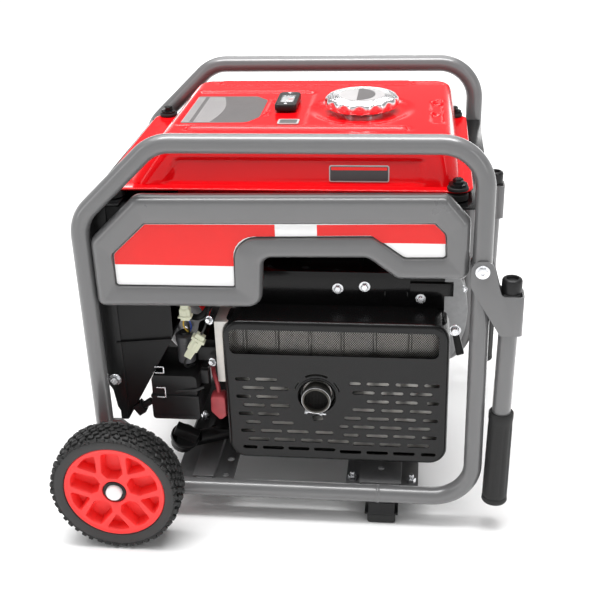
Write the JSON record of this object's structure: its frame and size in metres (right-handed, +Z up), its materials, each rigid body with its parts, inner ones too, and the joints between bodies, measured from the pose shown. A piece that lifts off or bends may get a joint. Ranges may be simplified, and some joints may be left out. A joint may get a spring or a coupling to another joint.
{
  "type": "inverter generator",
  "caption": "Open-frame inverter generator: tubular side loops, red fuel tank, muffler behind a slotted guard, wheels and folding lift handles.",
  "frame": {"origin": "on the floor, under the middle of the object's box", "axes": "+X along the side loops towards the folding handles, wheels at -X; -Y towards the muffler side, +Y towards the recoil starter side; +Z up"},
  "size_m": [0.7096, 0.66, 0.6428],
  "materials": {
    "frame_grey": "satin grey powder coat",
    "panel_grey": "satin grey powder coat on pressed sheet, red and white decal in the recess",
    "black_steel": "satin black paint",
    "guard_black": "matt black heat-proof paint",
    "rubber_black": "moulded black rubber",
    "tyre_black": "knobbly black tyre",
    "zinc": "bright zinc plate",
    "hub_red": "moulded red plastic",
    "control_red": "red plastic",
    "tank_red": "gloss red paint",
    "cap_chrome": "polished chrome plate",
    "black_plastic": "fine-grained black plastic",
    "cast_aluminium": "die-cast aluminium",
    "engine_black": "die-cast aluminium, black",
    "muffler_steel": "aluminised steel sheet",
    "rotor_steel": "turned steel"
  },
  "bodies": {
    "frame": {"frame_loop_near": "frame_grey", "frame_loop_far": "frame_grey", "axle_bracket_near": "frame_grey", "axle_bracket_far": "frame_grey", "foot_bracket_near": "black_steel", "foot_bracket_far": "black_steel", "foot_rubber_near": "rubber_black", "foot_rubber_far": "rubber_black", "axle_near": "zinc", "axle_far": "zinc", "axle_nut_near": "zinc", "axle_nut_far": "zinc", "pivot_bolt_near": "zinc", "pivot_bolt_far": "zinc", "side_panel_near": "panel_grey", "side_panel_far": "panel_grey", "base_channel_left": "frame_grey", "base_channel_right": "frame_grey", "tank_rail_left": "black_steel", "tank_rail_right": "black_steel", "fuel_tank": "tank_red", "fuel_gauge": "black_plastic", "fuel_valve": "cast_aluminium", "muffler_body": "muffler_steel", "muffler_guard": "guard_black", "exhaust_outlet": "black_steel", "muffler_bracket": "black_steel", "crankcase": "engine_black", "cylinder_head": "cast_aluminium", "air_cleaner": "black_plastic", "engine_shroud": "black_plastic", "alternator_housing": "cast_aluminium", "recoil_cover": "black_steel", "starter_motor": "black_steel", "battery": "black_plastic", "inverter_module": "cast_aluminium", "control_box": "black_steel", "control_panel": "black_plastic", "duplex_outlet_1": "black_plastic", "duplex_outlet_2": "black_plastic", "twist_outlet": "black_plastic"},
    "wheel_near": {"wheel_hub_near": "hub_red", "tyre_near": "tyre_black"},
    "handle_near": {"handle_arm_near": "frame_grey", "handle_grip_near": "rubber_black", "handle_plug_near": "black_plastic"},
    "wheel_far": {"wheel_hub_far": "hub_red", "tyre_far": "tyre_black"},
    "handle_far": {"handle_arm_far": "frame_grey", "handle_grip_far": "rubber_black", "handle_plug_far": "black_plastic"},
    "fuel_cap": {"fuel_cap": "cap_chrome"},
    "valve_lever": {"valve_lever": "control_red"},
    "oil_cap": {"oil_cap": "black_plastic"},
    "rotor": {"rotor": "rotor_steel"},
    "recoil_handle": {"recoil_handle": "black_plastic"},
    "engine_dial": {"engine_dial": "control_red"},
    "start_button": {"start_button": "control_red"},
    "breaker_button_1": {"breaker_button_1": "black_plastic"},
    "breaker_button_2": {"breaker_button_2": "black_plastic"}
  },
  "joints": [
    {"name": "wheel_near_spin", "type": "hinge", "parent": "frame", "child": "wheel_near", "pos_m": [-0.25125, -0.303, 0.1035], "axis": [0, 1, 0], "continuous": true},
    {"name": "handle_near_fold", "type": "hinge", "parent": "frame", "child": "handle_near", "pos_m": [0.29415, -0.228, 0.45], "axis": [0, -1, 0], "range_deg": [0, 90]},
    {"name": "wheel_far_spin", "type": "hinge", "parent": "frame", "child": "wheel_far", "pos_m": [-0.25125, 0.303, 0.1035], "axis": [0, 1, 0], "continuous": true},
    {"name": "handle_far_fold", "type": "hinge", "parent": "frame", "child": "handle_far", "pos_m": [0.29415, 0.228, 0.45], "axis": [0, -1, 0], "range_deg": [0, 90]},
    {"name": "fuel_cap_lift", "type": "slide", "parent": "frame", "child": "fuel_cap", "axis": [0, 0, 1], "range_m": [0, 0.04]},
    {"name": "valve_lever_turn", "type": "hinge", "parent": "frame", "child": "valve_lever", "pos_m": [0.21675, -0.141, 0.462], "axis": [0, 1, 0], "range_deg": [0, 90]},
    {"name": "oil_cap_out", "type": "slide", "parent": "frame", "child": "oil_cap", "axis": [0.3986, -0.299, 0.867], "range_m": [0, 0.03]},
    {"name": "rotor_spin", "type": "hinge", "parent": "frame", "child": "rotor", "pos_m": [0.13475, 0.09, 0.24], "axis": [0, 1, 0], "continuous": true},
    {"name": "recoil_pull", "type": "slide", "parent": "frame", "child": "recoil_handle", "axis": [0, 1, 0], "range_m": [0, 0.5], "stiffness_N_per_m": 20, "springref_m": -0.05},
    {"name": "engine_dial_turn", "type": "hinge", "parent": "frame", "child": "engine_dial", "pos_m": [-0.28025, 0.138, 0.4], "axis": [-1, 0, 0], "range_deg": [0, 90]},
    {"name": "start_button_press", "type": "slide", "parent": "frame", "child": "start_button", "axis": [1, 0, 0], "range_m": [0, 0.004], "stiffness_N_per_m": 300, "springref_m": -0.002},
    {"name": "breaker_button_1_trip", "type": "slide", "parent": "frame", "child": "breaker_button_1", "axis": [-1, 0, 0], "range_m": [0, 0.003]},
    {"name": "breaker_button_2_trip", "type": "slide", "parent": "frame", "child": "breaker_button_2", "axis": [-1, 0, 0], "range_m": [0, 0.003]}
  ]
}
